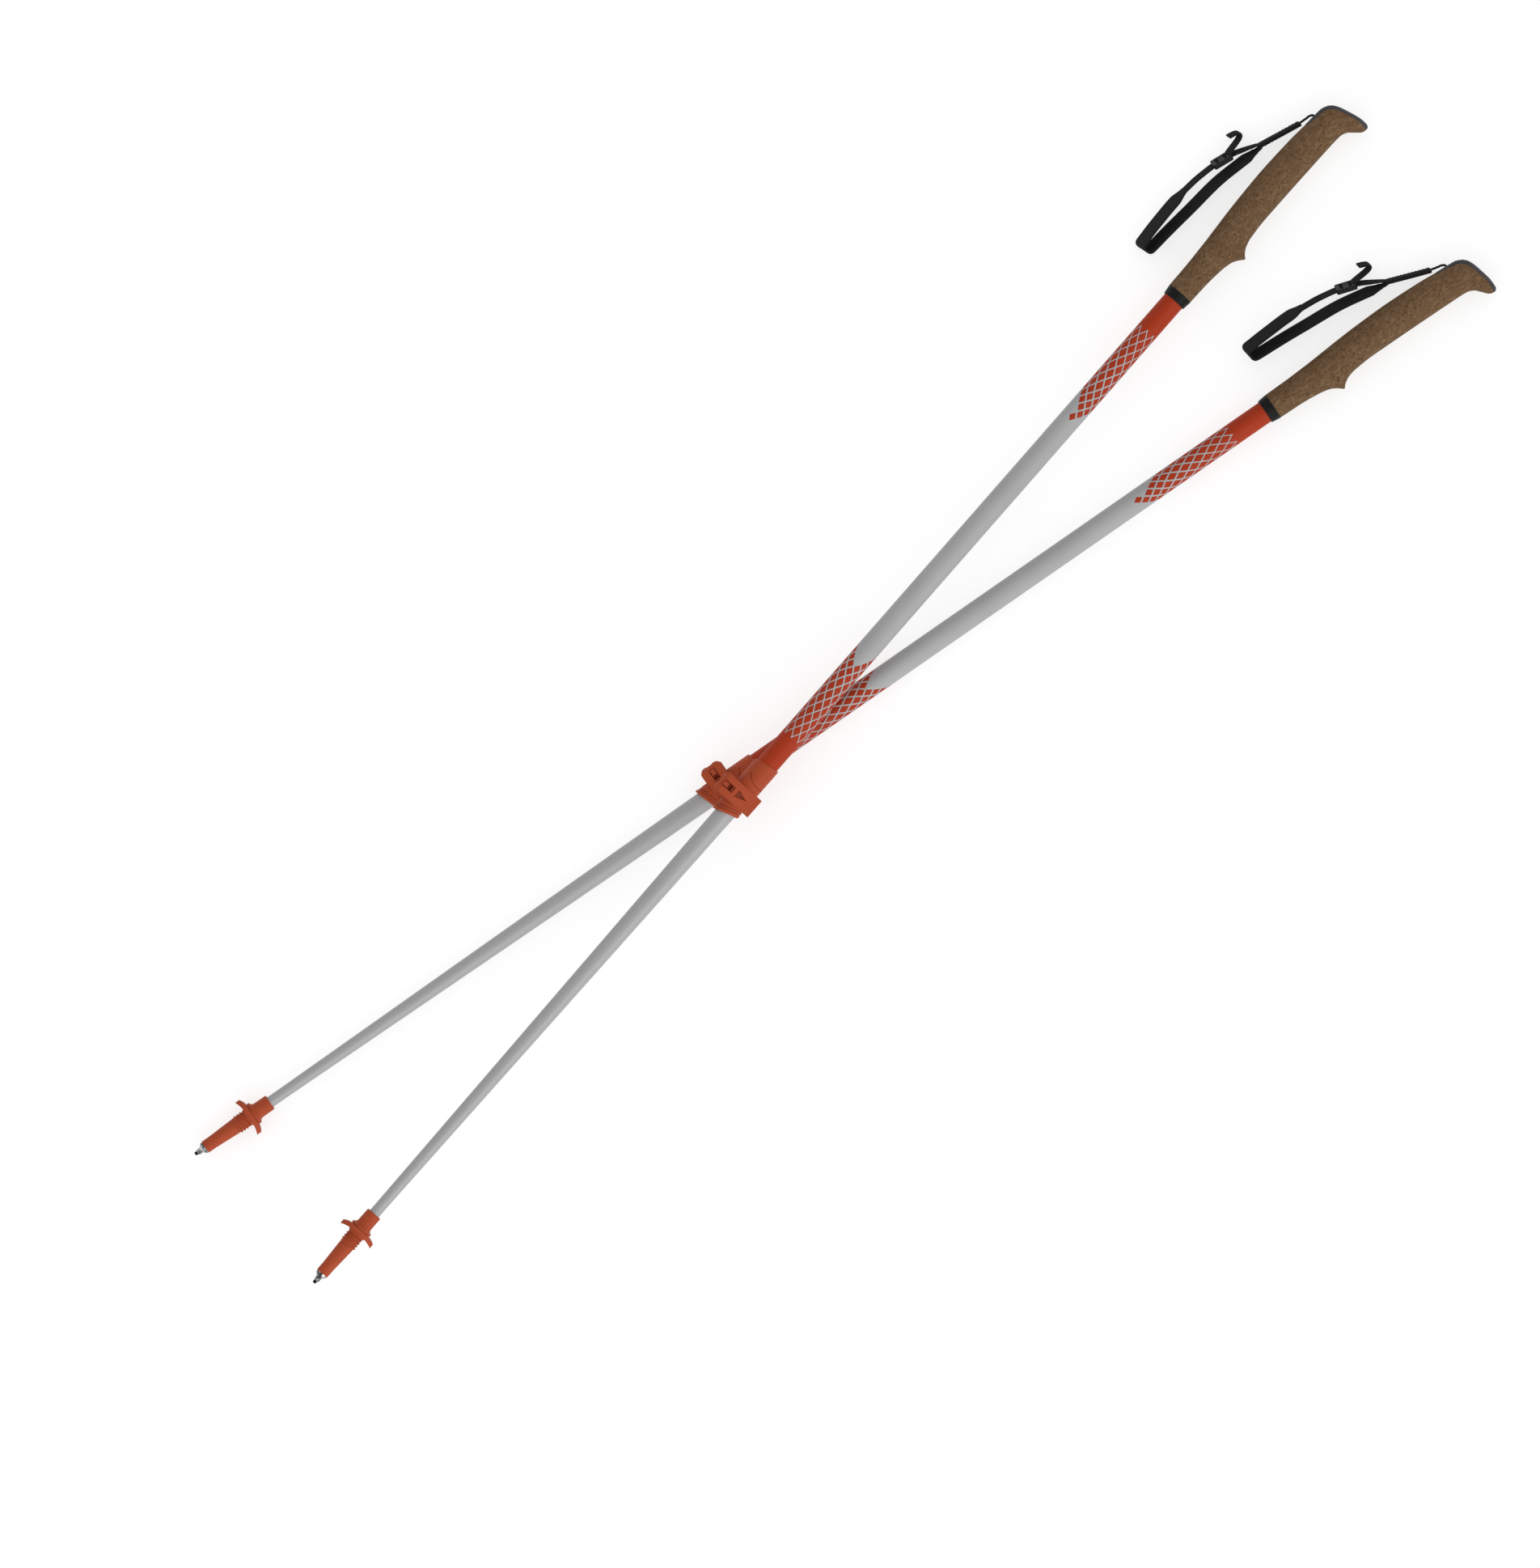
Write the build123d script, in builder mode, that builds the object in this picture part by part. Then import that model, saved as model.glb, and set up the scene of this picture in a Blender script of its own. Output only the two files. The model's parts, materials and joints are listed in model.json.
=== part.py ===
"""A pair of two-section trekking poles, lying crossed on the floor.

Both poles are one design.  Each piece is made once in the pole's own frame, in millimetres:
+X runs along the pole from the carbide tip at 0 to the head of the grip, +Y points to the side
where the lock lever is hinged and the strap leaves the grip, and +Z is up.  The pieces are then
placed twice, for the right pole on the floor and for the left pole that lies across it.
The row frame has +X along the line midway between the two poles, from tips to grips, +Z up,
and its origin at the bottom centre of the whole pair.
"""
import os
from math import atan2, cos, degrees, radians, sin, sqrt

from build123d import *

# ---------------------------------------------------------------- driving dimensions (mm, degrees)
POLE_LENGTH = 1100.0          # tip to head, as set

UPPER_R = 8.0                 # 16 mm upper tube
UPPER_BORE_R = 7.08
UPPER_START = 441.0
UPPER_END = 1068.0
LOWER_R = 7.0                 # 14 mm lower tube, tapering to 8 mm at the ferrule
LOWER_NECK_R = 4.0
LOWER_START = 24.0
LOWER_END = 722.0
LOWER_WALL = 0.9

CARBIDE_R = 1.33
CARBIDE_OUT = 2.0
HOLDER_R = 4.25
HOLDER_END = 8.8
HOLDER_SHANK_R = 3.0
HOLDER_SHANK_END = 20.0

LAND_R = 4.65                 # cylindrical land for a rubber foot
LAND_LENGTH = 6.0
FERRULE_END = 64.3
THREAD_START = 35.4
THREAD_PITCH = 2.35
THREAD_TURNS = 3.2
THREAD_ROOT_R = 5.7
THREAD_CREST_R = 6.5
FLANGE_R = 9.0                # dished flange, drawn out to two lugs
LUG_REACH = 13.7

LOCK_R = 9.3
LOCK_TIP_X = (440.4, 434.7)   # slanted lower end, at -Y and at +Y
LOCK_GRIP_X = (483.9, 480.8)  # slanted upper end, at -Y and at +Y
CREASE_DEPTH = 0.6
CREASE_WIDTH = 0.8
SLIT = 1.2
SLIT_END = 468.0
EAR_FACE = 2.4                # each ear's outer face, from the split plane
EAR_REACH = 17.2

LEVER_X = (445.2, 460.6)
LEVER_FREE_Y = -13.9
PIN_Y = 13.0                  # lever pivot, parallel to the pole
PIN_Z = 8.5
PIN_R = 1.25
PIN_CLEARANCE = 0.05
CAM_R = 5.8
BRIDGE_R = 4.75               # inside of the bridge that closes the slot at the hinge end
BRIDGE_ANGLES = (23.0, 58.0)
HINGE_CORNER_R = 3.4
ARROW_DEPTHS = (1.3, 2.6)     # at the arrow's base and at its point
SLOT_FLOOR = (8.0, 9.3)       # the slot's closed inner end reaches this Y, at this height
SLOT_X = (450.6, 455.5)
SLOT_Y = 5.7
BOLT_X = (SLOT_X[0] + SLOT_X[1]) / 2
BOLT_R = 2.0
BOLT_END = -7.4
EYE_LENGTH = 4.2
EYE_WIDTH = 3.6
EYE_UP = 4.6                  # the eye's height above and below the pin
EYE_DOWN = 3.4
NUT_R = 4.1
NUT_HEIGHT = 4.0
NUT_FACE = EAR_FACE + 0.1

COLLAR_START = 916.3
CORK_START = 923.1
CORE_R = 8.8
CORE_END = 1070.0
CAP_START = 1071.0
CAP_LAYER = (2.9, 1.4)        # the cap's thickness, along the pole and across it

STRAP_PIN_X = 1080.1
STRAP_PIN_Y = 7.6
STRAP_PIN_R = 1.4
STRAP_PIN_LENGTH = 16.0
STRAP_SLOT = 5.2              # the slot in the head that the link comes out of
STRAP_LEAN = 24.0             # the webbing stands on edge and leans towards the grip
PALM_WIDTH = 18.0
WEB_WIDTH = 9.0
WEB_THICKNESS = 1.6
HEM_THICKNESS = 3.2
HEM_LEAN = 9.0
FLOOR_GAP = 0.05
STRAP_MID = PALM_WIDTH * cos(radians(STRAP_LEAN)) / 2 + FLOOR_GAP  # the webbing's middle height
LINK_R = 0.85

CROSSING_ANGLE = 14.038
CROSSING_X = {"left": 501.06, "right": 505.04}
STACK_AT_LOCK = 21.2          # left axis over right axis, measured at the locks
FLANGE_REST_X = 48.0          # the right pole rests on its flange and on the grip's fullest part
GRIP_REST_X = 1027.0
GRIP_HALF = 13.0
HEAD_REST_X = 1084.0          # the left pole's head rests on the floor
HEAD_HALF = 12.35

# (x, back edge, front edge, half thickness) down the grip, with the spur at 971.5 and the beak
GRIP_STATIONS = [
    (CORK_START, 9.7, -9.5, 9.7), (940, 9.9, -9.9, 10.2), (955, 10.5, -11.2, 10.9),
    (963, 10.9, -12.9, 11.2), (967.5, 11.2, -15.3, 11.3), (970.2, 11.4, -17.5, 11.2),
    (971.8, 11.5, -18.7, 11.2), (973, 11.6, -17.2, 11.2), (975, 11.7, -15.5, 11.3),
    (979, 12.0, -13.3, 11.5), (986, 12.5, -11.7, 11.8),
    (1002, 13.3, -10.7, 12.4), (1027, 13.9, -10.8, GRIP_HALF), (1055, 13.2, -11.1, 12.6),
    (1073, 11.9, -11.4, 12.2), (1081, 11.4, -11.8, 12.3), (1086, 11.0, -13.8, 12.3),
    (1090, 9.6, -18.0, 12.0), (1093.5, 7.0, -21.7, 11.2), (1096, 2.3, -22.6, 9.9),
    (1098.3, -6.0, -22.3, 7.4), (POLE_LENGTH - 0.3, -12.5, -20.8, 4.0),
]

# plan of the wrist strap beside the grip, at mid height of the webbing
PALM_PLAN = [(1033.5, 26.4), (1021.5, 28.6), (998.7, 32.4), (970.3, 34.4), (947.6, 35.8),
             (931.2, 36.9), (930.2, 43.8), (947.6, 45.2), (964.6, 45.9), (980.0, 45.6)]
ADJUSTER_PLAN = [(980.0, 45.6), (986.0, 45.1), (993.1, 44.4), (1005.6, 42.1), (1013.5, 39.7),
                 (1021.5, 37.0), (1030.0, 32.7), (1037.5, 28.6)]
NEAR_PLAN = [(1033.5, 26.4), (1037.5, 25.4)]
HEM_PLAN = [(1037.5, 27.0), (1055.6, 20.5), (1069.3, 15.6)]
TAIL_PLAN = [(1022.0, 40.1), (1034.0, 40.9), (1037.4, 44.6), (1029.0, 47.4)]
BEND_R = 1.6
LINK_ROUTE = [(STRAP_PIN_X - 0.4, STRAP_PIN_Y + 1.9), (1078.8, 13.0), (1074.0, 14.6),
              (1069.3, 15.6)]
BUCKLE_CENTRE = (1013.5, 39.7)
BUCKLE_SIZE = (15.0, 12.6, 3.4)
BUCKLE_SLOT = 2.3

POLE_AXIS = Axis.X
pieces = {}                   # name -> part, in the pole's own frame
strap_pieces = {}             # name -> part, standing on the floor beside the grip


def tube_profile(points):
    """A closed profile in the XY plane, to be turned about the pole's axis."""
    with BuildSketch() as profile:
        with BuildLine():
            Polyline(*points, close=True)
        make_face()
    return profile.sketch


# ---------------------------------------------------------------- tip
with BuildPart() as carbide_tip:
    add(tube_profile([(0.5, 0), (0, 0.95), (0.25, CARBIDE_R), (7, CARBIDE_R), (7, 0)]))
    revolve(axis=POLE_AXIS)
pieces["carbide_tip"] = carbide_tip.part

with BuildPart() as tip_holder:
    with BuildSketch():
        with BuildLine():
            Polyline((7, 0), (7, CARBIDE_R), (CARBIDE_OUT, CARBIDE_R), (CARBIDE_OUT, 1.8),
                     (2.6, 2.1), (4.2, 2.25))
            TangentArc((4.2, 2.25), (7.1, HOLDER_R), tangent=(1, 0.05))
            Polyline((7.1, HOLDER_R), (HOLDER_END, HOLDER_R), (HOLDER_END, HOLDER_SHANK_R),
                     (HOLDER_SHANK_END, HOLDER_SHANK_R), (HOLDER_SHANK_END, 0), (7, 0))
        make_face()
    revolve(axis=POLE_AXIS)
    with BuildSketch(Plane.YZ.offset(4.4)):
        with PolarLocations(HOLDER_R + 0.5, 6):
            Circle(1.15)
    extrude(amount=3.4, mode=Mode.SUBTRACT)
pieces["tip_holder"] = tip_holder.part

with BuildPart() as flange:
    with BuildSketch():
        with BuildLine():
            ThreePointArc((49.6, 6.6), (49.0, 10.5), (47.0, LUG_REACH + 0.2))
            ThreePointArc((43.9, LUG_REACH + 0.2), (46.2, 10.0), (46.9, 6.6))
            Line((47.0, LUG_REACH + 0.2), (43.9, LUG_REACH + 0.2))
            Line((46.9, 6.6), (49.6, 6.6))
        make_face()
    revolve(axis=POLE_AXIS)
    with BuildSketch(Plane.YZ.offset(40)):
        Ellipse(LUG_REACH + 0.6, FLANGE_R)
        Rectangle(2 * LUG_REACH, 2 * FLANGE_R, mode=Mode.INTERSECT)
        with Locations((-11.4, 0), (11.4, 0)):
            Circle(1.0, mode=Mode.SUBTRACT)
    extrude(amount=15, mode=Mode.INTERSECT)

with BuildPart() as tip_ferrule:
    land_end = HOLDER_END + LAND_LENGTH
    with BuildSketch():
        with BuildLine():
            Polyline((HOLDER_END, HOLDER_SHANK_R), (HOLDER_END, LAND_R), (land_end, LAND_R),
                     (34.4, 5.57), (34.4, 5.35), (THREAD_START - 0.4, 5.35),
                     (THREAD_START - 0.4, THREAD_ROOT_R), (43.9, THREAD_ROOT_R), (46.3, 7.3),
                     (49.8, 7.3), (49.8, 8.2), (51.5, 8.2))
            TangentArc((51.5, 8.2), (53.9, 5.8), tangent=(0.2, -1))
            Polyline((53.9, 5.8), (FERRULE_END - 0.5, 5.7), (FERRULE_END, 5.2),
                     (FERRULE_END, LOWER_NECK_R), (LOWER_START, LOWER_NECK_R),
                     (LOWER_START, 2.4), (HOLDER_SHANK_END, 2.4),
                     (HOLDER_SHANK_END, HOLDER_SHANK_R), (HOLDER_END, HOLDER_SHANK_R))
        make_face()
    revolve(axis=POLE_AXIS)
    # the dished flange
    add(flange.part)
    # the basket thread
    with BuildLine() as helix:
        Helix(THREAD_PITCH, THREAD_PITCH * THREAD_TURNS, THREAD_ROOT_R - 0.05,
              center=(THREAD_START + 0.4, 0, 0), direction=(1, 0, 0))
    start = helix.line @ 0
    radial = Vector(0, start.Y, start.Z).normalized()
    with BuildSketch(Plane(origin=start, x_dir=radial, z_dir=helix.line % 0)):
        with BuildLine():
            Polyline((0, -0.7), (THREAD_CREST_R - THREAD_ROOT_R, -0.3),
                     (THREAD_CREST_R - THREAD_ROOT_R, 0.3), (0, 0.7), close=True)
        make_face()
    sweep(path=helix.line, is_frenet=True)
pieces["tip_ferrule"] = tip_ferrule.part

# ---------------------------------------------------------------- tubes
with BuildPart() as lower_tube:
    outline = [(LOWER_START, LOWER_NECK_R), (72, LOWER_NECK_R), (372, 6.55), (402, 6.8),
               (433, LOWER_R), (LOWER_END, LOWER_R)]
    inside = [(x, r - LOWER_WALL) for x, r in reversed(outline)]
    add(tube_profile(outline + inside))
    revolve(axis=POLE_AXIS)
pieces["lower_tube"] = lower_tube.part

with BuildPart() as lower_bush:
    bush_bore = LOWER_R - LOWER_WALL
    add(tube_profile([(LOWER_END - 12, bush_bore - 1.2), (LOWER_END - 12, bush_bore),
                      (LOWER_END, bush_bore), (LOWER_END, LOWER_R + 0.04),
                      (LOWER_END + 3, LOWER_R + 0.04), (LOWER_END + 4, bush_bore),
                      (LOWER_END + 4, bush_bore - 1.2)]))
    revolve(axis=POLE_AXIS)
pieces["lower_bush"] = lower_bush.part

with BuildPart() as upper_tube:
    add(tube_profile([(UPPER_START, UPPER_BORE_R), (UPPER_START, UPPER_R),
                      (UPPER_END, UPPER_R), (UPPER_END, UPPER_BORE_R)]))
    revolve(axis=POLE_AXIS)
    # the lower end is slit so that the clamp can close it
    with BuildSketch(Plane.XY):
        with Locations(((UPPER_START + SLIT_END) / 2 - 5, UPPER_R)):
            Rectangle(SLIT_END - UPPER_START + 10, 4)
    extrude(amount=SLIT / 2, both=True, mode=Mode.SUBTRACT)
pieces["upper_tube"] = upper_tube.part

# ---------------------------------------------------------------- lock
skirt_tilt = atan2(LOCK_TIP_X[0] - LOCK_TIP_X[1], 2 * LOCK_R)
with BuildPart() as creases:
    for inset in (2.4, 4.3):
        middle = (LOCK_TIP_X[0] + LOCK_TIP_X[1]) / 2 + inset
        with BuildSketch(Plane(origin=(middle, 0, 0), x_dir=(0, 0, 1),
                               z_dir=(cos(skirt_tilt), sin(skirt_tilt), 0))):
            Circle(3 * LOCK_R)
        extrude(amount=CREASE_WIDTH)
    with BuildSketch(Plane.XY):
        with BuildLine():
            ThreePointArc((465.6, -8.6), (466.0, -1.0), (470.4, 5.0))
        trace(line_width=CREASE_WIDTH)
    extrude(amount=LOCK_R + 1)
    with BuildSketch(Plane.YZ.offset(LOCK_TIP_X[1] - 20)):
        Circle(LOCK_R - CREASE_DEPTH)
    extrude(amount=90, mode=Mode.SUBTRACT)

with BuildPart() as lock_collar:
    with BuildSketch():
        with BuildLine():
            Polyline((LOCK_TIP_X[0], -LOCK_R), (LOCK_GRIP_X[0], -LOCK_R),
                     (LOCK_GRIP_X[1], LOCK_R), (LOCK_TIP_X[1], LOCK_R), close=True)
        make_face()
    extrude(amount=LOCK_R + 1, both=True)
    with BuildSketch(Plane.YZ.offset(LOCK_TIP_X[1] - 5)):
        Circle(LOCK_R)
    extrude(amount=60, mode=Mode.INTERSECT)
    rims = [lock_collar.faces().sort_by(POLE_AXIS)[0], lock_collar.faces().sort_by(POLE_AXIS)[-1]]
    chamfer(rims[1].edges(), 0.7)
    chamfer(rims[0].edges(), 0.5)
    # the two ears that the bolt draws together
    with BuildSketch(Plane.XY):
        with Locations((BOLT_X, (UPPER_R + EAR_REACH) / 2)):
            RectangleRounded(LEVER_X[1] - LEVER_X[0] + 1.6, EAR_REACH - UPPER_R, 2.0)
    extrude(amount=EAR_FACE, both=True)
    # bores: the upper tube, and the lip that the lower tube runs through
    with BuildSketch(Plane.YZ.offset(UPPER_START)):
        Circle(UPPER_R)
    extrude(amount=60, mode=Mode.SUBTRACT)
    with BuildSketch(Plane.YZ.offset(LOCK_TIP_X[1] - 5)):
        Circle(UPPER_BORE_R)
    extrude(amount=20, mode=Mode.SUBTRACT)
    # the split
    with BuildSketch(Plane.XY):
        with Locations(((LOCK_TIP_X[1] + SLIT_END) / 2 - 3, UPPER_BORE_R + 6)):
            Rectangle(SLIT_END - LOCK_TIP_X[1] + 6, 14)
    extrude(amount=SLIT / 2, both=True, mode=Mode.SUBTRACT)
    with BuildSketch(Plane.XY):
        with Locations((BOLT_X, PIN_Y)):
            Circle(BOLT_R + 0.15)
    extrude(amount=EAR_FACE + 1, both=True, mode=Mode.SUBTRACT)
    add(creases.part, mode=Mode.SUBTRACT)
pieces["lock_collar"] = lock_collar.part

with BuildPart() as lock_lever:
    inner_r = LOCK_R + 0.3
    heel = (inner_r * cos(radians(32)), inner_r * sin(radians(32)))
    crown = (inner_r * cos(radians(90)), inner_r * sin(radians(90)))
    brow = (inner_r * cos(radians(128)), inner_r * sin(radians(128)))
    face_low = (LEVER_FREE_Y, 10.6)
    face_high = (5.0, 13.8)
    with BuildSketch(Plane.YZ.offset(LEVER_X[0])):
        with BuildLine():
            Polyline((LEVER_FREE_Y, 7.7), face_low, face_high)
            Spline(face_high, (PIN_Y, PIN_Z + CAM_R), tangents=((1, 0.169), (1, 0)))
            ThreePointArc((PIN_Y, PIN_Z + CAM_R), (PIN_Y + CAM_R, PIN_Z), (PIN_Y, PIN_Z - CAM_R))
            Polyline((PIN_Y, PIN_Z - CAM_R), (11.7, PIN_Z - CAM_R), (8.45, 4.85), heel)
            ThreePointArc(heel, crown, brow)
            Line(brow, (LEVER_FREE_Y, 7.7))
        make_face()
    extrude(amount=LEVER_X[1] - LEVER_X[0])
    # rounded long edges of the face
    face_edges = lock_lever.edges().filter_by(
        lambda edge: edge.length > 12 and edge.center().Z > 11 and abs(edge.tangent_at(0.5).X) < 0.1)
    fillet(face_edges, 0.8)
    free_corners = lock_lever.edges().filter_by(Axis.X).group_by(Axis.Y)[0]
    fillet(free_corners, 0.6)
    # the hinge end's corners, seen from the front
    with BuildSketch(Plane.XY):
        with Locations((BOLT_X, PIN_Y + CAM_R - 30)):
            RectangleRounded(LEVER_X[1] - LEVER_X[0], 60, HINGE_CORNER_R)
    extrude(amount=20, mode=Mode.INTERSECT)
    # slot for the bolt's eye, closed at the hinge end by a bridge across its outer face
    with BuildSketch(Plane.XY):
        with Locations((BOLT_X, (SLOT_Y + 20) / 2)):
            Rectangle(SLOT_X[1] - SLOT_X[0], 20 - SLOT_Y)
    extrude(amount=20, mode=Mode.SUBTRACT)
    with BuildSketch(Plane.YZ.offset(SLOT_X[0])):
        with BuildLine():
            floor_y, floor_z = SLOT_FLOOR
            under = [(y, sqrt((inner_r + 0.2)**2 - y**2)) for y in (floor_y, 6.9, SLOT_Y - 0.1)]
            Polyline((SLOT_Y - 0.1, floor_z), (floor_y, floor_z), *under, close=True)
        make_face()
    extrude(amount=SLOT_X[1] - SLOT_X[0])
    with BuildSketch(Plane.YZ.offset(SLOT_X[0])):
        with BuildLine():
            low, high = BRIDGE_ANGLES
            outer = CenterArc((PIN_Y, PIN_Z), CAM_R, low, high - low)
            inner = CenterArc((PIN_Y, PIN_Z), BRIDGE_R, low, high - low)
            Line(outer @ 0, inner @ 0)
            Line(outer @ 1, inner @ 1)
        make_face()
    extrude(amount=SLOT_X[1] - SLOT_X[0])
    with BuildSketch(Plane.YZ.offset(LEVER_X[0] - 1)):
        with Locations((PIN_Y, PIN_Z)):
            Circle(PIN_R + PIN_CLEARANCE)
    extrude(amount=20, mode=Mode.SUBTRACT)
    # engraved arrow that points to the free end and deepens towards its point
    arrow_base, arrow_point = 1.9, 10.7
    slope = atan2(face_high[1] - face_low[1], face_high[0] - face_low[0])
    dip = atan2(ARROW_DEPTHS[1] - ARROW_DEPTHS[0], arrow_point - arrow_base)
    towards_end = Vector(0, -cos(slope), -sin(slope))
    face_normal = Vector(0, -sin(slope), cos(slope))
    face_point = Vector(BOLT_X, *face_high)
    with BuildPart(mode=Mode.PRIVATE) as arrow:
        with BuildSketch(Plane(origin=face_point, x_dir=(1, 0, 0), z_dir=face_normal)):
            with BuildLine():
                Polyline((-3.1, -arrow_base), (3.1, -arrow_base), (0, -arrow_point), close=True)
            make_face()
        extrude(amount=4, both=True)
        with BuildSketch(Plane(origin=face_point + towards_end * arrow_base
                               - face_normal * ARROW_DEPTHS[0], x_dir=(1, 0, 0),
                               z_dir=(0, -sin(slope + dip), cos(slope + dip)))):
            Rectangle(40, 40)
        extrude(amount=20, mode=Mode.INTERSECT)
    add(arrow.part, mode=Mode.SUBTRACT)
pieces["lock_lever"] = lock_lever.part

with BuildPart() as lever_pin:
    with BuildSketch(Plane.YZ.offset(LEVER_X[0] + 0.4)):
        with Locations((PIN_Y, PIN_Z)):
            Circle(PIN_R)
    extrude(amount=LEVER_X[1] - LEVER_X[0] - 0.8)
    chamfer(lever_pin.edges(), 0.2)
pieces["lever_pin"] = lever_pin.part

with BuildPart() as tension_bolt:
    with BuildSketch(Plane.XY.offset(BOLT_END)):
        with Locations((BOLT_X, PIN_Y)):
            Circle(BOLT_R - 0.25)
    extrude(amount=PIN_Z - BOLT_END)
    with BuildSketch(Plane.XY.offset(PIN_Z - EYE_DOWN)):
        with Locations((BOLT_X, PIN_Y)):
            Rectangle(EYE_WIDTH, EYE_LENGTH)
    extrude(amount=EYE_DOWN + EYE_UP)
    fillet(tension_bolt.edges().filter_by(Axis.X).group_by(Axis.Z)[-1], 0.6)
    with BuildSketch(Plane.YZ.offset(SLOT_X[0] - 1)):
        with Locations((PIN_Y, PIN_Z)):
            Circle(PIN_R)
    extrude(amount=8, mode=Mode.SUBTRACT)
pieces["tension_bolt"] = tension_bolt.part

with BuildPart() as tension_nut:
    with BuildSketch(Plane.XY.offset(-NUT_FACE - NUT_HEIGHT)):
        with Locations((BOLT_X, PIN_Y)):
            Circle(NUT_R)
            Circle(BOLT_R - 0.25 + PIN_CLEARANCE, mode=Mode.SUBTRACT)
            with PolarLocations(NUT_R + 0.25, 12):
                Circle(0.55, mode=Mode.SUBTRACT)
    extrude(amount=NUT_HEIGHT)
pieces["tension_nut"] = tension_nut.part

# ---------------------------------------------------------------- grip
with BuildPart() as grip_core:
    add(tube_profile([(COLLAR_START, UPPER_R), (COLLAR_START, 8.6), (COLLAR_START + 0.5, 8.9),
                      (CORK_START, 9.7), (CORK_START, CORE_R), (CORE_END, CORE_R), (CORE_END, 0),
                      (UPPER_END, 0), (UPPER_END, UPPER_R)]))
    revolve(axis=POLE_AXIS)
pieces["grip_core"] = grip_core.part

with BuildPart() as grip_form:
    for x, back, front, half_thickness in GRIP_STATIONS:
        with BuildSketch(Plane.YZ.offset(x)):
            with Locations(((back + front) / 2, 0)):
                Ellipse((back - front) / 2, half_thickness)
    loft(ruled=True)

with BuildPart() as grip_cap:
    add(grip_form.part)
    backs = [(x - CAP_LAYER[0], back - CAP_LAYER[1]) for x, back, front, half in GRIP_STATIONS]
    fronts = [(x - CAP_LAYER[0], front - CAP_LAYER[1]) for x, back, front, half in GRIP_STATIONS]
    with BuildSketch(Plane.XY):
        with BuildLine():
            Polyline(*backs, *reversed(fronts), close=True)
        make_face()
    extrude(amount=30, both=True, mode=Mode.SUBTRACT)
    with BuildSketch(Plane.YZ.offset(CAP_START)):
        Rectangle(80, 80)
    extrude(amount=40, mode=Mode.INTERSECT)
    with BuildSketch(Plane.XY):
        with Locations((STRAP_PIN_X, STRAP_PIN_Y + 4)):
            Rectangle(6.4, 9)
    extrude(amount=STRAP_SLOT / 2, both=True, mode=Mode.SUBTRACT)
    with BuildSketch(Plane.XY):
        with Locations((STRAP_PIN_X, STRAP_PIN_Y)):
            Circle(STRAP_PIN_R)
    extrude(amount=STRAP_PIN_LENGTH / 2, both=True, mode=Mode.SUBTRACT)
pieces["grip_cap"] = max(grip_cap.part.solids(), key=lambda solid: solid.volume)

with BuildPart() as grip_cork:
    add(grip_form.part)
    add(pieces["grip_cap"], mode=Mode.SUBTRACT)
    with BuildSketch(Plane.YZ.offset(CORK_START - 1)):
        Circle(CORE_R)
    extrude(amount=CORE_END - CORK_START + 1, mode=Mode.SUBTRACT)
    with BuildSketch(Plane.XY):
        with Locations((STRAP_PIN_X, STRAP_PIN_Y + 2.5)):
            Rectangle(6.4, 10)
    extrude(amount=STRAP_SLOT / 2, both=True, mode=Mode.SUBTRACT)
    with BuildSketch(Plane.XY):
        with Locations((STRAP_PIN_X, STRAP_PIN_Y)):
            Circle(STRAP_PIN_R)
    extrude(amount=STRAP_PIN_LENGTH / 2, both=True, mode=Mode.SUBTRACT)
pieces["grip_cork"] = max(grip_cork.part.solids(), key=lambda solid: solid.volume)

with BuildPart() as strap_pin:
    with BuildSketch(Plane.XY):
        with Locations((STRAP_PIN_X, STRAP_PIN_Y)):
            Circle(STRAP_PIN_R)
    extrude(amount=STRAP_PIN_LENGTH / 2, both=True)
pieces["strap_pin"] = strap_pin.part


# ---------------------------------------------------------------- strap, on edge on the floor
def webbing(plan, width, thickness=WEB_THICKNESS, lean=STRAP_LEAN):
    """Webbing on edge along a plan line: its middle is at STRAP_MID and it leans to -Y."""
    rise = Vector(0, -sin(radians(lean)), cos(radians(lean)))
    foot = Plane(origin=rise * (-width / 2) + Vector(0, 0, STRAP_MID))
    with BuildPart() as band:
        with BuildSketch(foot):
            with BuildLine():
                Polyline(*plan) if len(plan) < 3 else FilletPolyline(*plan, radius=BEND_R)
            trace(line_width=thickness)
        extrude(amount=width, dir=rise)
    return band.part


def less(part, *others):
    """The part with its neighbours' shapes taken out, as one solid."""
    with BuildPart() as rest:
        add(part)
        for other in others:
            add(other, mode=Mode.SUBTRACT)
    return max(rest.part.solids(), key=lambda solid: solid.volume)


strap_pieces["strap_hem"] = webbing(HEM_PLAN, WEB_WIDTH, HEM_THICKNESS, HEM_LEAN)
strap_pieces["strap_palm"] = webbing(PALM_PLAN, PALM_WIDTH)
strap_pieces["strap_near"] = less(webbing(NEAR_PLAN, WEB_WIDTH), strap_pieces["strap_palm"],
                                  strap_pieces["strap_hem"])

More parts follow.
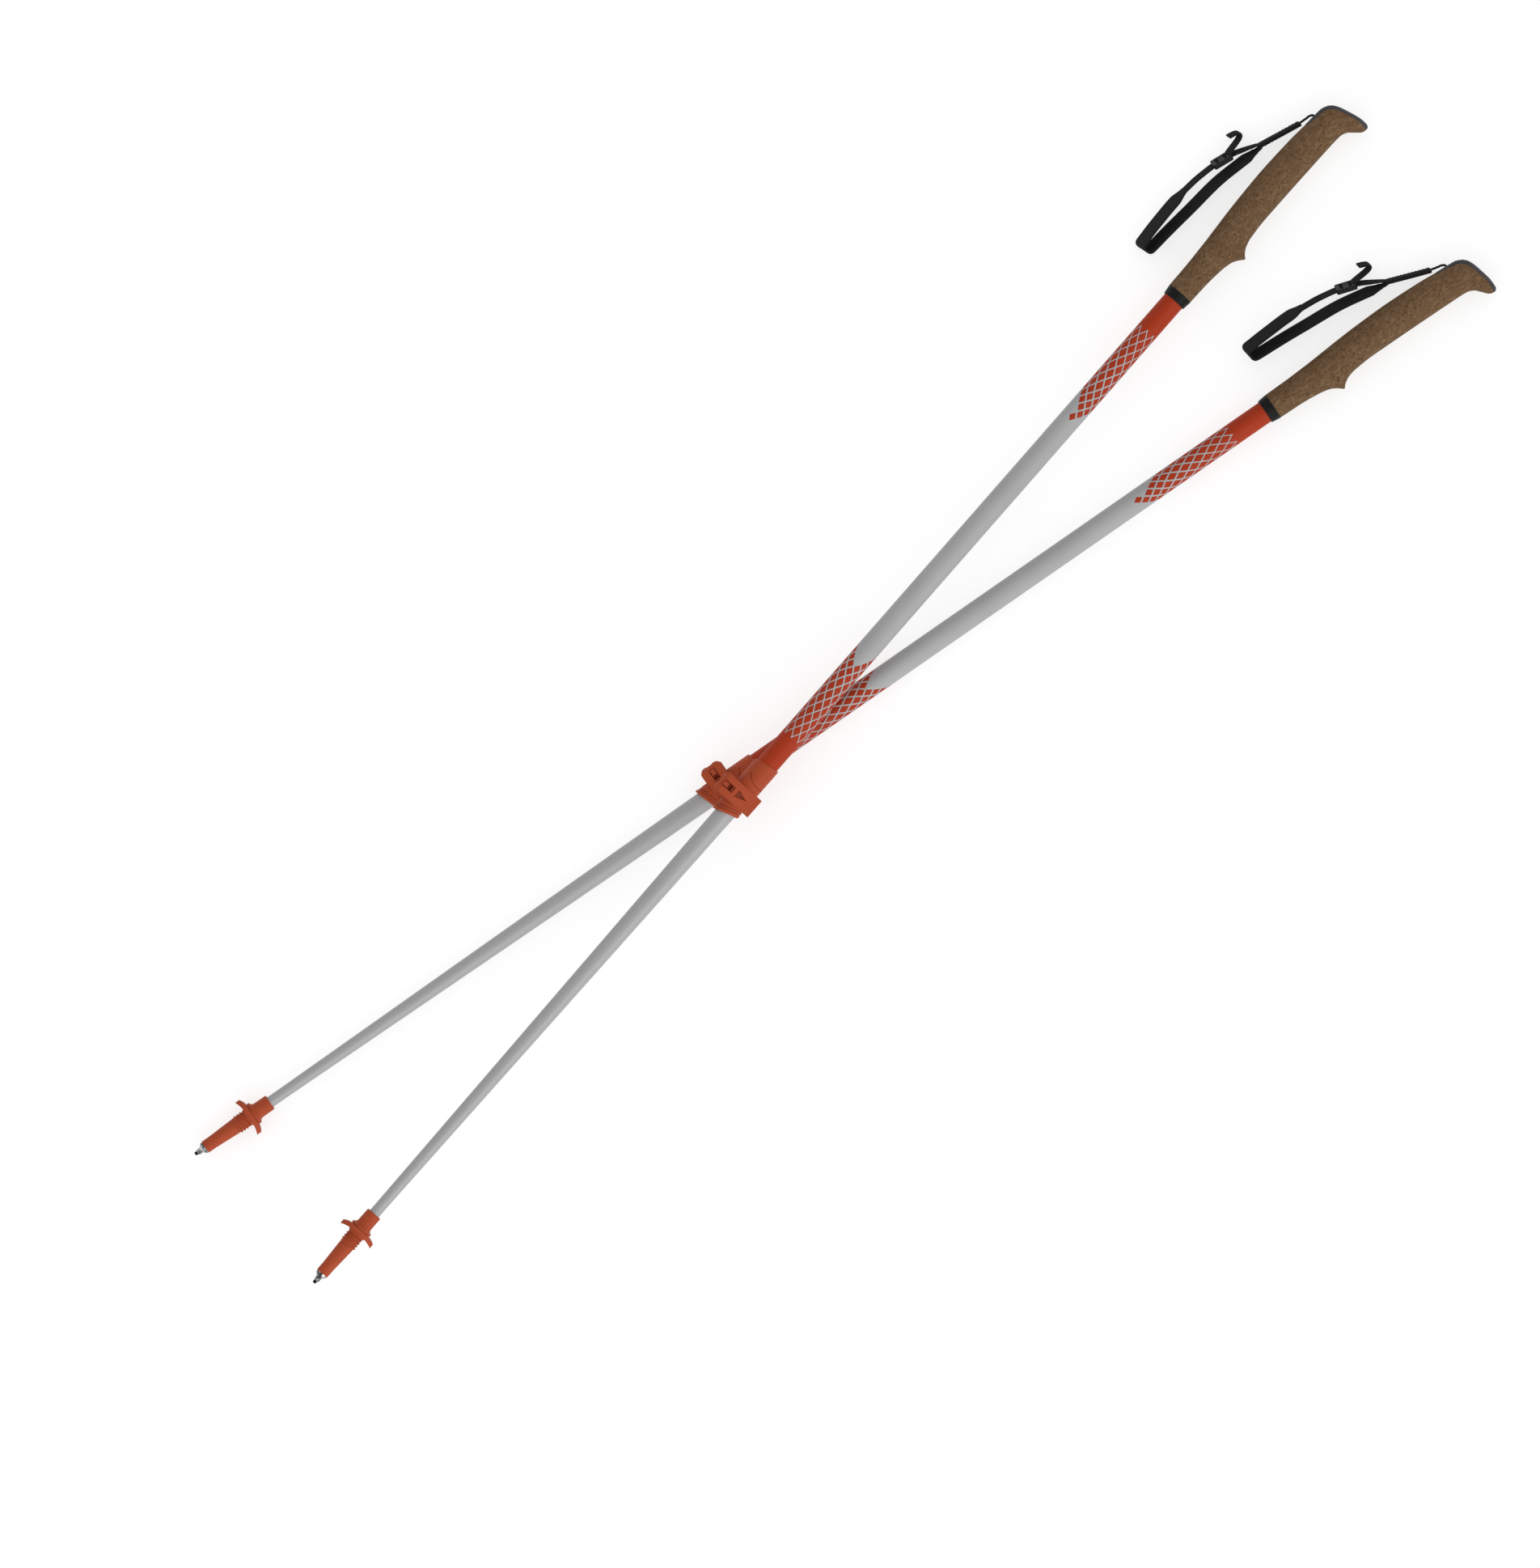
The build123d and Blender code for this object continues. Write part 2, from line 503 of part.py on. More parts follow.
turn = degrees(atan2(ADJUSTER_PLAN[5][1] - ADJUSTER_PLAN[3][1],
                     ADJUSTER_PLAN[5][0] - ADJUSTER_PLAN[3][0]))
buckle_up = Vector(0, -sin(radians(STRAP_LEAN)), cos(radians(STRAP_LEAN)))
buckle_along = Vector(cos(radians(turn)), sin(radians(turn)), 0)
buckle_plane = Plane(origin=(*BUCKLE_CENTRE, STRAP_MID), x_dir=buckle_along,
                     z_dir=buckle_along.cross(buckle_up) * -1)
with BuildPart() as buckle:
    with BuildSketch(buckle_plane):
        RectangleRounded(BUCKLE_SIZE[0], BUCKLE_SIZE[1], 1.6)
        with Locations((-3.3, 0), (3.3, 0)):
            Rectangle(BUCKLE_SLOT, WEB_WIDTH + 0.4, mode=Mode.SUBTRACT)
    extrude(amount=BUCKLE_SIZE[2] / 2, both=True)
strap_pieces["strap_buckle"] = buckle.part
strap_pieces["strap_adjuster"] = less(webbing(ADJUSTER_PLAN, WEB_WIDTH), buckle.part,
                                      strap_pieces["strap_palm"], strap_pieces["strap_hem"],
                                      strap_pieces["strap_near"])
strap_pieces["strap_tail"] = less(webbing(TAIL_PLAN, WEB_WIDTH), buckle.part,
                                  strap_pieces["strap_adjuster"])


def strap_link(exit_height):
    """The short cord from the pin in the head, at its height, down to the stitched end."""
    heights = [exit_height, exit_height, (exit_height + STRAP_MID) / 2, STRAP_MID]
    route = [(x, y, z) for (x, y), z in zip(LINK_ROUTE, heights)]
    with BuildPart() as link:
        with BuildLine() as path:
            Spline(*route)
        with BuildSketch(Plane(origin=path.line @ 0, z_dir=path.line % 0)):
            Circle(LINK_R)
        sweep(path=path.line)
    return less(link.part, strap_pieces["strap_hem"])


# ---------------------------------------------------------------- where each pole lies
half_angle = CROSSING_ANGLE / 2
lock_x = BOLT_X
right_rise = (GRIP_HALF - FLANGE_R) / (GRIP_REST_X - FLANGE_REST_X)
right_lock_height = FLANGE_R + (lock_x - FLANGE_REST_X) * right_rise
left_rise = (HEAD_HALF - right_lock_height - STACK_AT_LOCK) / (HEAD_REST_X - lock_x)


def pole_plane(side):
    """The pole's own frame, placed so that both axes pass over the crossing point."""
    yaw = radians(half_angle if side == "left" else -half_angle)
    rise = left_rise if side == "left" else right_rise
    lock_height = right_lock_height + (STACK_AT_LOCK if side == "left" else 0)
    level = Vector(cos(yaw), sin(yaw), 0)
    along = (level + Vector(0, 0, rise)).normalized()
    tip_height = lock_height - lock_x * along.Z
    origin = level * (-CROSSING_X[side] * sqrt(1 - along.Z**2)) + Vector(0, 0, tip_height)
    across = Vector(0, 0, 1).cross(along)
    return Plane(origin=origin, x_dir=along, z_dir=along.cross(across))


def floor_plane(side):
    """The strap's frame: level, on the floor, under the pole's line."""
    yaw = radians(half_angle if side == "left" else -half_angle)
    level = Vector(cos(yaw), sin(yaw), 0)
    return Plane(origin=level * -CROSSING_X[side], x_dir=level, z_dir=(0, 0, 1))


placed = {}
strap_exit = {}
for side in ("right", "left"):
    on_pole = pole_plane(side)
    on_floor = floor_plane(side)
    pin_point = on_pole.from_local_coords(Vector(STRAP_PIN_X, STRAP_PIN_Y, 0))
    strap_exit[side] = pin_point
    for name, part in pieces.items():
        placed[f"{side}_{name}"] = part.moved(on_pole.location)
    beside_grip = dict(strap_pieces, strap_link=strap_link(pin_point.Z))
    for name, part in beside_grip.items():
        placed[f"{side}_{name}"] = part.moved(on_floor.location)

whole = Compound(children=[Compound([part]) for part in placed.values()]).bounding_box()
ROW_SHIFT = Vector(-(whole.min.X + whole.max.X) / 2, -(whole.min.Y + whole.max.Y) / 2, -whole.min.Z)

os.makedirs("parts", exist_ok=True)
for name, part in placed.items():
    finished = part.moved(Location(ROW_SHIFT))
    finished.label = name
    export_step(finished, f"parts/{name}.step")
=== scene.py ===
"""Looks of the crossed trekking poles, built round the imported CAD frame.

Each pole has its own frame, worked out from the joints: +X along the pole from tip to grip,
+Y to the side where the lever is hinged and the strap leaves, +Z up.  Lengths below are in
millimetres in that frame, and MM turns them into Blender's metres.
"""
import json
from math import cos, hypot, pi, radians, sin, tau

import bmesh
import bpy
import numpy as np
from mathutils import Matrix, Vector


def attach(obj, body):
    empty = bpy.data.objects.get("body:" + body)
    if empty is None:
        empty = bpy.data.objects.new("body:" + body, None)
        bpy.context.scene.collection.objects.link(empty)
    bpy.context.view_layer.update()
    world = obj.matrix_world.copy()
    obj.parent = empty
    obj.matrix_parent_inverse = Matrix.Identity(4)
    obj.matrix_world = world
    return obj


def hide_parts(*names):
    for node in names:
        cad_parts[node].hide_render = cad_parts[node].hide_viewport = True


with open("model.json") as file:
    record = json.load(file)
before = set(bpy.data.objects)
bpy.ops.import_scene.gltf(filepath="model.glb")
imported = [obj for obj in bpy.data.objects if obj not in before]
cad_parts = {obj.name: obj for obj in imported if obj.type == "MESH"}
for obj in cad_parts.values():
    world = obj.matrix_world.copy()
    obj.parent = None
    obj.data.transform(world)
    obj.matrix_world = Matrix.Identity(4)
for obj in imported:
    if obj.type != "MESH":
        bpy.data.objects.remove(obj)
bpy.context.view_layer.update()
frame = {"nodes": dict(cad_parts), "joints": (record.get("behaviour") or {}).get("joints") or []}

MM = 0.001
SIDES = ("right", "left")

# the lock's lever pivot and the crossing, in the pole's frame
PIVOT = (453.05, 13.0, 8.5)
CROSSING_X = {"left": 501.06, "right": 505.04}

# the camera looks straight down, and its picture is turned from the row frame
CAMERA_HEIGHT = 8.0           # metres
SENSOR = 36.0
FRAME_WIDTH = 1082.6          # what the picture takes in across, at the crossing's height
FRAME_TURN = radians(41.763)  # from the picture's right to the row's +X
CROSSING_OFFSET = (10.3, 27.3)  # the crossing, right of and above the picture's middle
FLOOR_HALF = 6.0              # metres
SUN_SPREAD = 50.0             # degrees
SUN_STRENGTH = 1.3
SKY_STRENGTH = 0.72

# the tubes' pattern: a diamond lattice between the red ends and the silver middle
LATTICE_PITCH = 11.35
LINE_WIDTH = 0.057            # half a line's width, in cells, and how it grows with each cell
LINE_GROWTH = 0.007
LATTICE_CELLS_ROUND = 8
LONG_CELLS = 5.0              # past these there are this share more cells to a length
CELL_SHORTENING = 0.22
LOW_LATTICE_START = 508.4
HIGH_LATTICE_START = 887.6
LATTICE_MIDDLE = 700.0
LOW_SILVER_CELLS = 5.5
HIGH_SILVER_CELLS = 7.5

# where the floor of the lever's engraved arrow lies, and that of the collar's creases, whose faces
# get painted shade
ARROW_HALF = 3.2
ARROW_Y = (-5.9, 3.4)
ARROW_TOP = 13.0              # the lever's face is above this at the arrow's hinge end
ARROW_SLOPE = 0.169           # and falls this much a millimetre towards the free end
ARROW_LOW = 8.8
CREASE_R = (8.6, 8.85)
SHANK_TOP = 5.0               # the bolt is steel below this height, under its moulded eye

# the grip: (x, back edge, front edge, half thickness)
GRIP = [
    (923.1, 9.7, -9.5, 9.7), (940, 9.9, -9.9, 10.2), (955, 10.5, -11.2, 10.9),
    (963, 10.9, -12.9, 11.2), (967.5, 11.2, -15.3, 11.3), (970.2, 11.4, -17.5, 11.2),
    (971.8, 11.5, -18.7, 11.2), (973, 11.6, -17.2, 11.2), (975, 11.7, -15.5, 11.3),
    (979, 12.0, -13.3, 11.5), (986, 12.5, -11.7, 11.8),
    (1002, 13.3, -10.7, 12.4), (1027, 13.9, -10.8, 13.0), (1055, 13.2, -11.1, 12.6),
    (1073, 11.9, -11.4, 12.2), (1081, 11.4, -11.8, 12.3), (1086, 11.0, -13.8, 12.3),
    (1090, 9.6, -18.0, 12.0), (1093.5, 7.0, -21.7, 11.2), (1096, 2.3, -22.6, 9.9),
    (1098.3, -6.0, -22.3, 7.4), (1099.7, -12.5, -20.8, 4.0),
]
CAP_START = 1071.0
CAP_LAYER = (2.9, 1.4)        # how far the cap's inside is set back, along and across
BORE_R = 8.5                  # the cork's bore, whose wall is inside the sleeve on the tube
BORE_END = 1069.5
GRIP_SIDES = 96
GRIP_RINGS = 180
CAP_RINGS = 60
CAP_OVER = 0.18               # the cap stands this far out of the cork
RIB_HEIGHT = 0.16
RIB_PITCH = 2.1
RIB_SLANT = 0.35              # how far a rib leans along the pole for each step across it

# the strap beside the grip: plan lines at mid height of webbing that stands on edge
STRAP_LEAN = 24.0
HEM_LEAN = 12.0
PALM_WIDTH = 18.0
PALM_END_WIDTH = 9.4
WEB_WIDTH = 9.0
HEM_WIDTH = 9.2
PALM_THICKNESS = 1.6
WEB_THICKNESS = 1.4
WEB_WAIST = 0.94              # the webbing's thickness between its edges, against theirs
HEM_LAYER = 0.76              # each of the hem's two layers, off its middle
FLOOR_GAP = 0.1
STRAP_MID = PALM_WIDTH * cos(radians(STRAP_LEAN)) / 2 + FLOOR_GAP
RIPPLE = 0.12                 # slow waves across the webbing, and their length per radian
RIPPLE_LENGTH = 9.0
BACK_WEAVE = 40.0             # moves the weave's pattern on the back face away from the front's
PALM_PLAN = [(1034.0, 26.3), (1021.5, 28.6), (998.7, 32.4), (970.3, 34.4), (947.6, 35.8),
             (936.0, 36.5), (931.9, 37.1), (930.6, 38.5), (930.2, 40.4), (930.3, 42.3),
             (931.6, 43.8), (936.0, 44.3), (947.6, 45.2), (964.6, 45.9), (980.5, 45.6)]
ADJUSTER_PLAN = [(976.5, 45.7), (986.0, 45.1), (993.1, 44.4), (1005.6, 42.1), (1013.5, 39.7),
                 (1021.5, 37.0), (1030.0, 32.7), (1038.5, 28.0)]
NEAR_PLAN = [(1029.0, 27.3), (1033.5, 26.4), (1038.5, 25.2)]
HEM_PLAN = [(1037.5, 27.0), (1046.0, 24.0), (1055.6, 20.5), (1069.3, 15.6)]
TAIL_PLAN = [(1019.5, 39.9), (1024.0, 40.3), (1030.0, 40.7), (1034.6, 41.6), (1036.2, 43.4),
             (1034.0, 45.4), (1029.0, 47.4)]
LINK_PLAN = [(1079.7, 9.5), (1078.8, 13.0), (1074.0, 14.6), (1068.5, 15.9)]
LINK_R = 0.85
LINK_SIDES = 18

# the hem's stitches: rows along it, and a bar at each end
STITCH_HALF = 0.8             # half the length of one stitch
STITCH_R = 0.2
STITCH_COUNT = 12
STITCH_MARGIN = 2.0
STITCH_ROWS = (3.6, -3.6, 0.0)
STITCH_BARS = (-2.4, -1.2, 1.2, 2.4)
STITCH_OUT = 1.46             # from the hem's middle to its faces


# ---------------------------------------------------------------- frames
def joint(name):
    return next(j for j in frame["joints"] if j["name"] == name)


def pole_frame(side):
    """Pole coordinates, in metres, to the row frame."""
    along = -Vector(joint(f"{side}_shaft_slide")["axis"])
    up = Vector(joint(f"{side}_nut_turn")["axis"])
    basis = Matrix((along, up.cross(along), up)).transposed()
    placed = basis.to_4x4()
    pivot = Vector(joint(f"{side}_lever_hinge")["pos_m"])
    placed.translation = pivot - basis @ (Vector(PIVOT) * MM)
    return placed


def floor_frame(side):
    """The strap's frame: level on the floor under the pole."""
    pole = pole_frame(side)
    along = pole.col[0].xyz
    level = Vector((along.x, along.y, 0)).normalized()
    crossing = pole @ Vector((CROSSING_X[side] * MM, 0, 0))
    placed = Matrix((level, Vector((0, 0, 1)).cross(level), (0, 0, 1))).transposed().to_4x4()
    origin = crossing - level * CROSSING_X[side] * MM
    placed.translation = Vector((origin.x, origin.y, 0))
    return placed


# ---------------------------------------------------------------- camera, light and floor
def make_camera():
    centre = sum((pole_frame(s) @ Vector((CROSSING_X[s] * MM, 0, 0)) for s in SIDES), Vector()) / 2
    right = Vector((cos(FRAME_TURN), -sin(FRAME_TURN), 0))
    up = Vector((sin(FRAME_TURN), cos(FRAME_TURN), 0))
    at = centre - (right * CROSSING_OFFSET[0] + up * CROSSING_OFFSET[1]) * MM
    data = bpy.data.cameras.new("camera")
    data.sensor_fit = "HORIZONTAL"
    data.sensor_width = SENSOR
    data.lens = SENSOR * CAMERA_HEIGHT / (FRAME_WIDTH * MM)
    data.clip_end = 50
    camera = bpy.data.objects.new("camera", data)
    camera.matrix_world = Matrix((right, up, (0, 0, 1))).transposed().to_4x4()
    camera.location = (at.x, at.y, centre.z + CAMERA_HEIGHT)
    bpy.context.scene.collection.objects.link(camera)
    bpy.context.scene.camera = camera
    return right, up


def make_sun(name, towards, strength, spread):
    data = bpy.data.lights.new(name, "SUN")
    data.energy = strength
    data.angle = radians(spread)
    data.use_shadow = False
    lamp = bpy.data.objects.new(name, data)
    lamp.rotation_euler = (-Vector(towards)).to_track_quat("-Z", "Y").to_euler()
    lamp.location = Vector(towards) * 3
    bpy.context.scene.collection.objects.link(lamp)


# ---------------------------------------------------------------- node helpers
class Surface:
    """A material on a Principled shader, with short calls for its nodes."""

    def __init__(self, name, **shader):
        self.material = bpy.data.materials.new(name)
        self.material.use_nodes = True
        self.tree = self.material.node_tree
        self.shader = self.tree.nodes["Principled BSDF"]
        for socket, value in shader.items():
            self.shader.inputs[socket.replace("_", " ")].default_value = value

    def node(self, kind, values=None, **settings):
        made = self.tree.nodes.new(kind)
        for key, value in settings.items():
            setattr(made, key, value)
        for socket, value in (values or {}).items():
            if isinstance(value, bpy.types.NodeSocket):
                self.tree.links.new(value, made.inputs[socket])
            else:
                made.inputs[socket].default_value = value
        return made

    def math(self, operation, a, b=0.0, c=0.0):
        return self.node("ShaderNodeMath", {0: a, 1: b, 2: c}, operation=operation).outputs[0]

    def mix(self, factor, a, b):
        return self.node("ShaderNodeMix", {0: factor, 6: a, 7: b}, data_type="RGBA").outputs[2]

    def ramp(self, factor, stops):
        made = self.node("ShaderNodeValToRGB", {0: factor})
        elements = made.color_ramp.elements
        while len(elements) < len(stops):
            elements.new(0.5)
        for element, (place, colour) in zip(elements, stops):
            element.position = place
            element.color = colour
        return made.outputs[0]

    def place(self, scale=(1, 1, 1)):
        where = self.node("ShaderNodeTexCoord").outputs["Object"]
        return self.node("ShaderNodeMapping", {0: where, 3: scale}).outputs[0]

    def noise(self, vector, scale, detail=3.0, roughness=0.55):
        return self.node("ShaderNodeTexNoise", {"Vector": vector, "Scale": scale,
                                                "Detail": detail, "Roughness": roughness})

    def bump(self, height, strength, distance, after=None):
        values = {"Height": height, "Strength": strength, "Distance": distance * MM}
        if after is not None:
            values["Normal"] = after
        return self.node("ShaderNodeBump", values).outputs[0]

    def to(self, socket, value):
        self.tree.links.new(value, self.shader.inputs[socket])


def grey(value):
    return (value, value, value, 1)


def shaded(colour, share):
    """A darker copy of a colour."""
    return tuple(c * share for c in colour[:3]) + (1,)


# ---------------------------------------------------------------- materials
def cork_material():
    made = Surface("cork", Roughness=0.85, Specular_IOR_Level=0.12)
    where = made.place()
    warp = made.noise(where, 420.0).outputs["Color"]
    bent = made.node("ShaderNodeMixRGB", {0: 0.0014, 1: where, 2: warp},
                     blend_type="ADD").outputs[0]
    grains = made.node("ShaderNodeTexVoronoi", {"Vector": bent, "Scale": 780.0, "Randomness": 1.0})
    tone = made.node("ShaderNodeSeparateColor", {0: grains.outputs["Color"]}).outputs[0]
    base = made.ramp(tone, [(0.0, (0.118, 0.066, 0.031, 1)), (0.45, (0.150, 0.086, 0.042, 1)),
                            (0.8, (0.168, 0.099, 0.050, 1)), (1.0, (0.195, 0.119, 0.063, 1))])
    edges = made.node("ShaderNodeTexVoronoi", {"Vector": bent, "Scale": 780.0},
                      feature="DISTANCE_TO_EDGE").outputs["Distance"]
    seams = made.ramp(edges, [(0.0, grey(0)), (0.09, grey(1))])
    base = made.mix(seams, (0.098, 0.054, 0.025, 1), base)
    # short dark ticks that lie in two directions
    ticks = 0.0
    for scale, spread in ((300.0, (1.0, 2.8, 1.4)), (340.0, (2.6, 1.0, 1.6))):
        flecks = made.node("ShaderNodeTexVoronoi", {"Vector": made.place(spread), "Scale": scale})
        chance = made.node("ShaderNodeSeparateColor", {0: flecks.outputs["Color"]}).outputs[1]
        core = made.math("LESS_THAN", flecks.outputs["Distance"], 0.3)
        some = made.math("MULTIPLY", made.math("GREATER_THAN", chance, 0.84), core)
        ticks = made.math("MAXIMUM", some, ticks)
    base = made.mix(made.math("MULTIPLY", ticks, 0.9), base, (0.040, 0.021, 0.010, 1))
    cloud = made.noise(where, 55.0).outputs[0]
    base = made.mix(made.ramp(cloud, [(0.35, grey(0)), (0.7, grey(0.3))]), base,
                    (0.108, 0.060, 0.030, 1))
    patches = made.noise(made.place((1.0, 1.7, 1.2)), 210.0, 2.0).outputs[0]
    base = made.mix(made.ramp(patches, [(0.52, grey(0)), (0.66, grey(0.55))]), base,
                    (0.205, 0.126, 0.069, 1))
    made.to("Base Color", base)
    height = made.math("SUBTRACT", made.math("MULTIPLY", seams, 0.4), ticks)
    normal = made.bump(height, 0.35, 0.2)
    made.to("Normal", made.bump(made.noise(where, 1600.0).outputs[0], 0.3, 0.1, normal))
    return made.material


def plastic_material(name, colour, roughness, grain=0.06, specular=0.12):
    made = Surface(name, Specular_IOR_Level=specular)
    where = made.place()
    fine = made.noise(where, 900.0).outputs[0]
    cloud = made.noise(where, 60.0).outputs[0]
    made.to("Base Color", made.mix(made.ramp(cloud, [(0.3, grey(0)), (0.75, grey(0.6))]),
                                   colour, shaded(colour, 0.82)))
    made.to("Roughness", made.math("MULTIPLY_ADD", cloud, 0.16, roughness - 0.08))
    made.to("Normal", made.bump(fine, 0.35, grain))
    return made.material


def metal_material(name, colour, roughness, stretch=(1, 1, 1), brushed=0.03, metallic=1.0):
    made = Surface(name, Metallic=metallic)
    lines = made.noise(made.place(stretch), 700.0, 2.0).outputs[0]
    made.to("Base Color", made.mix(lines, shaded(colour, 0.9), colour))
    made.to("Roughness", made.math("MULTIPLY_ADD", lines, 0.14, roughness - 0.07))
    made.to("Normal", made.bump(lines, 0.25, brushed))
    return made.material


def chrome_material():
    """Polished fluted steel: bright, with dark streaks painted into its colour as reflections of
    the room.
    """
    made = Surface("polished_chrome", Metallic=1.0, Roughness=0.22)
    reflection_streaks = made.noise(made.place((0.35, 1.0, 1.0)), 480.0, 1.5).outputs[0]
    # painted reflections: the base colour runs from near black to bright along the streaks
    made.to("Base Color", made.ramp(reflection_streaks, [(0.40, grey(0.07)), (0.50, grey(0.30)),
                                              (0.60, grey(0.70))]))
    made.to("Normal", made.bump(reflection_streaks, 0.2, 0.1))
    return made.material


def pole_coordinates(made, side):
    """Distance along the pole in mm, and the turn about it in lattice cells."""
    pole = pole_frame(side)
    where = made.node("ShaderNodeTexCoord").outputs["Object"]
    local = made.node("ShaderNodeMapping", {0: where, 1: pole.translation,
                                            2: pole.to_euler("XYZ")}, vector_type="TEXTURE")
    parts = made.node("ShaderNodeSeparateXYZ", {0: local.outputs[0]}).outputs
    along = made.math("DIVIDE", parts[0], MM)
    angle = made.math("ARCTAN2", parts[1], parts[2])
    return along, made.math("MULTIPLY", angle, LATTICE_CELLS_ROUND / tau)


def lattice(made, depth, turn):
    """The lattice lines' mask, and each cell's column and row.

    Depth runs from the solid red end into the silver.  The cells are a little shorter past
    the fifth, and the lines grow wider with depth."""
    late = made.math("MAXIMUM", made.math("SUBTRACT", depth, LONG_CELLS * LATTICE_PITCH), 0.0)
    longer = made.math("MULTIPLY_ADD", late, CELL_SHORTENING, depth)
    cell = made.math("DIVIDE", longer, LATTICE_PITCH)
    one = made.math("ADD", cell, turn)
    two = made.math("SUBTRACT", cell, turn)
    to_line = made.math("MINIMUM", made.math("PINGPONG", one, 0.5), made.math("PINGPONG", two, 0.5))
    width = made.math("MULTIPLY_ADD", cell, LINE_GROWTH, LINE_WIDTH)
    line = made.math("LESS_THAN", to_line, width)
    begun = made.math("GREATER_THAN", cell, made.math("MULTIPLY", width, -1.0))
    return made.math("MULTIPLY", line, begun), made.math("FLOOR", one), made.math("FLOOR", two)


def red_tube_material(side):
    """Red lacquer at both ends, a pale diamond lattice, and a plain silver middle."""
    made = Surface(f"{side}_tube_lacquer", Specular_IOR_Level=0.15)
    along, turn = pole_coordinates(made, side)
    red = (0.350, 0.031, 0.0055, 1)
    pale = (0.36, 0.40, 0.41, 1)
    silver = (0.37, 0.37, 0.375, 1)
    # lower lattice: the silver makes a tongue that points to the lock
    low_line, column, row = lattice(made, made.math("SUBTRACT", along, LOW_LATTICE_START), turn)
    low_silver = made.math("GREATER_THAN", made.math("MINIMUM", column, row), LOW_SILVER_CELLS)
    # upper lattice: the red makes a tongue that points down the pole
    high_line, column, row = lattice(made, made.math("SUBTRACT", HIGH_LATTICE_START, along), turn)
    side_step = made.math("GREATER_THAN", made.math("SUBTRACT", column, row), 0.5)
    reach = made.math("SUBTRACT", HIGH_SILVER_CELLS, side_step)
    high_silver = made.math("GREATER_THAN", made.math("MAXIMUM", column, row), reach)
    upper_half = made.math("GREATER_THAN", along, LATTICE_MIDDLE)
    line = made.mix(upper_half, low_line, high_line)
    plain = made.mix(upper_half, low_silver, high_silver)
    colour = made.mix(plain, made.mix(line, red, pale), silver)
    grain = made.noise(made.place(), 1400.0, 2.0).outputs[0]
    cloud = made.noise(made.place(), 30.0, 2.0).outputs[0]
    shade = made.math("MULTIPLY_ADD", cloud, 0.16, 0.9)
    clouded = made.node("ShaderNodeVectorMath", {0: colour, 3: shade}, operation="SCALE")
    made.to("Base Color", clouded.outputs[0])
    made.to("Roughness", made.math("MULTIPLY_ADD", grain, 0.12, 0.48))
    made.to("Normal", made.bump(grain, 0.2, 0.03))
    return made.material


def webbing_material():
    made = Surface("webbing", Roughness=0.9, Specular_IOR_Level=0.08)
    uv = made.node("ShaderNodeUVMap", uv_map="weave").outputs[0]
    parts = made.node("ShaderNodeSeparateXYZ", {0: uv}).outputs
    # ribs across the webbing, and warp yarns that go over and under them
    ribs = made.math("SINE", made.math("MULTIPLY", parts[0], tau / 1.1))
    yarns = made.math("SINE", made.math("MULTIPLY", parts[1], tau / 0.9))
    weave = made.math("MULTIPLY_ADD", made.math("MULTIPLY", ribs, yarns), 0.5, 0.5)
    fuzz = made.noise(made.place(), 2500.0).outputs[0]
    height = made.math("MULTIPLY_ADD", fuzz, 0.35, weave)
    made.to("Base Color", made.ramp(height, [(0.2, (0.004, 0.004, 0.004, 1)),
                                             (1.0, (0.027, 0.026, 0.025, 1))]))
    made.to("Normal", made.bump(height, 0.7, 0.25))
    return made.material


def cord_material():
    made = Surface("braided_cord", Roughness=0.9, Specular_IOR_Level=0.08)
    waves = made.node("ShaderNodeTexWave", {"Vector": made.place(), "Scale": 260.0,
                                            "Distortion": 2.0}, bands_direction="DIAGONAL")
    made.to("Base Color", made.ramp(waves.outputs[1], [(0.1, (0.004, 0.004, 0.004, 1)),
                                                       (1.0, (0.020, 0.020, 0.021, 1))]))
    made.to("Normal", made.bump(waves.outputs[1], 0.6, 0.2))
    return made.material


# ---------------------------------------------------------------- mesh helpers
def mesh_object(name, verts, faces, material, smooth=True, weave=None):
    mesh = bpy.data.meshes.new(name)
    mesh.from_pydata(verts, [], faces)
    mesh.validate()
    bm = bmesh.new()
    bm.from_mesh(mesh)
    bmesh.ops.recalc_face_normals(bm, faces=bm.faces)
    bm.to_mesh(mesh)
    bm.free()
    if weave is not None:
        layer = mesh.uv_layers.new(name="weave")
        for loop in mesh.loops:
            layer.data[loop.index].uv = weave[loop.vertex_index]
    if smooth:
        mesh.shade_smooth()
    mesh.materials.append(material)
    made = bpy.data.objects.new(name, mesh)
    bpy.context.scene.collection.objects.link(made)
    return made


def curve_through(points, step):
    """A smooth line through the points: a cubic between each two, sampled about every step."""
    p = [Vector(q) for q in points]
    p = [p[0] * 2 - p[1]] + p + [p[-1] * 2 - p[-2]]
    out = []
    for a, b, c, d in zip(p, p[1:], p[2:], p[3:]):
        chord = (c - b).length
        count = max(2, int(chord / step))
        tb = (c - a).normalized() * chord
        tc = (d - b).normalized() * chord
        for i in range(count):
            t = i / count
            out.append(b * (2 * t**3 - 3 * t**2 + 1) + tb * (t**3 - 2 * t**2 + t)
                       + c * (3 * t**2 - 2 * t**3) + tc * (t**3 - t**2))
    out.append(p[-2])
    return out


def ahead_at(line, i):
    """The line's direction at one of its points."""
    return (line[min(i + 1, len(line) - 1)] - line[max(i - 1, 0)]).normalized()


def lengths_along(line):
    return np.cumsum([0] + [(b - a).length for a, b in zip(line, line[1:])])


